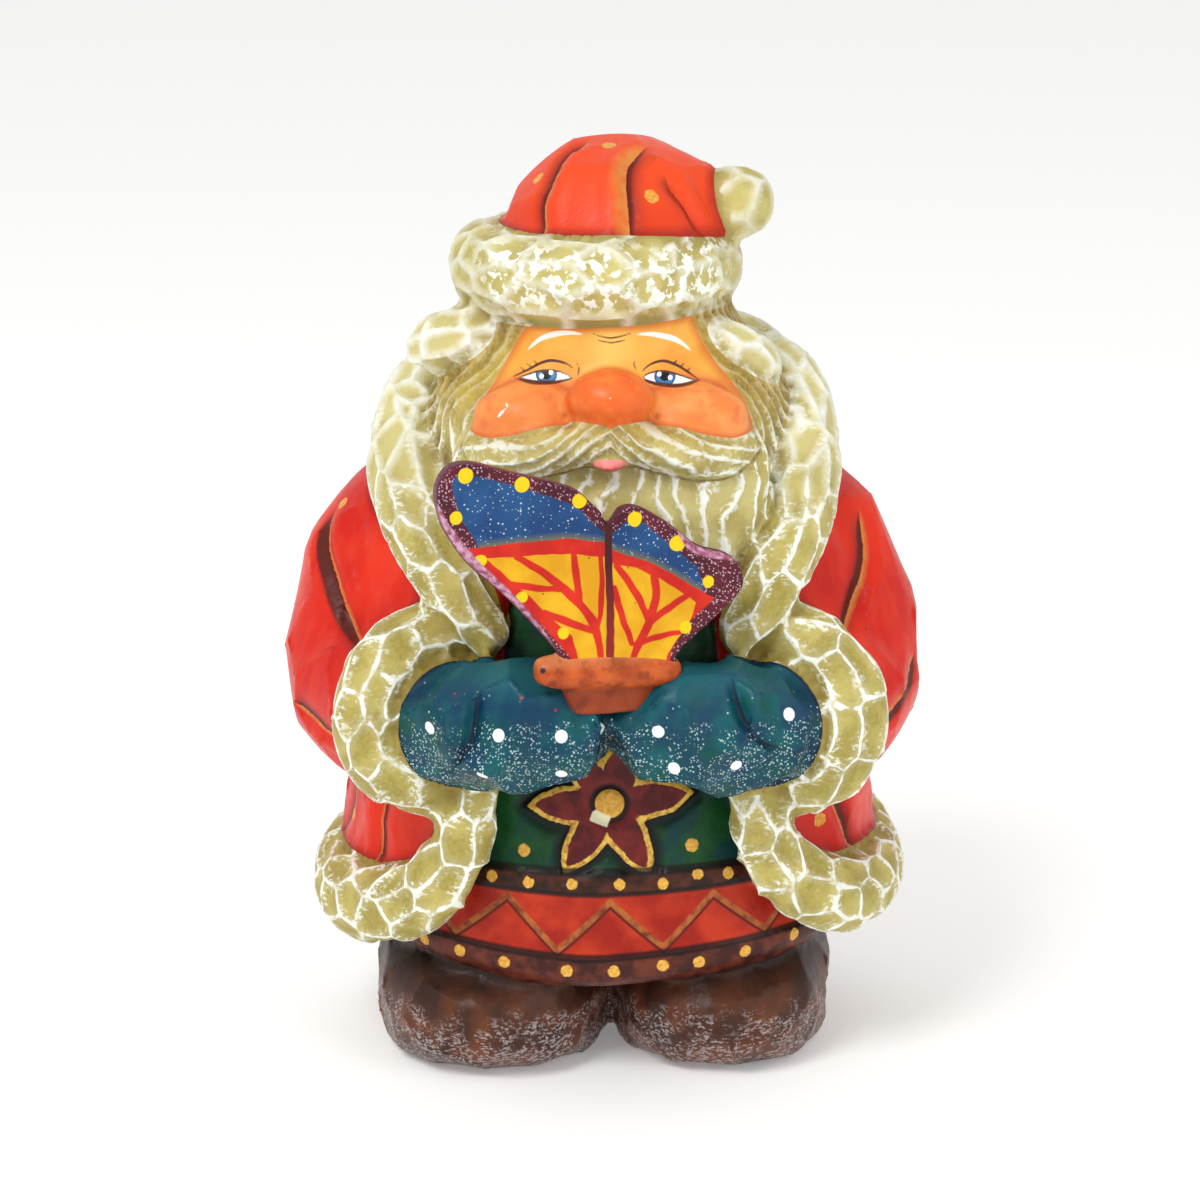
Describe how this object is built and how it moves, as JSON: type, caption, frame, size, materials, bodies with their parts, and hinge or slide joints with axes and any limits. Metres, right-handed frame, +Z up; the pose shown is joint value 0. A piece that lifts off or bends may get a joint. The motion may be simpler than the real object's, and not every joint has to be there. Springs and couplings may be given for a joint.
{
  "type": "santa figurine",
  "caption": "Carved and painted wooden Santa figurine in a fur-trimmed coat, holding a butterfly on its mittens; stands on its boots.",
  "frame": {"origin": "middle of the footprint box, on the ground under the boots", "axes": "+Z up, -Y towards the front of the figure, +X towards its left hand, the viewer's right"},
  "size_m": [0.0876, 0.0749, 0.1275],
  "materials": {
    "painted_figure": "satin varnish over hand-painted carved wood",
    "painted_butterfly": "satin varnish over hand-painted carved wood"
  },
  "bodies": {
    "root": {"santa_figure": "painted_figure", "butterfly": "painted_butterfly"}
  },
  "joints": []
}
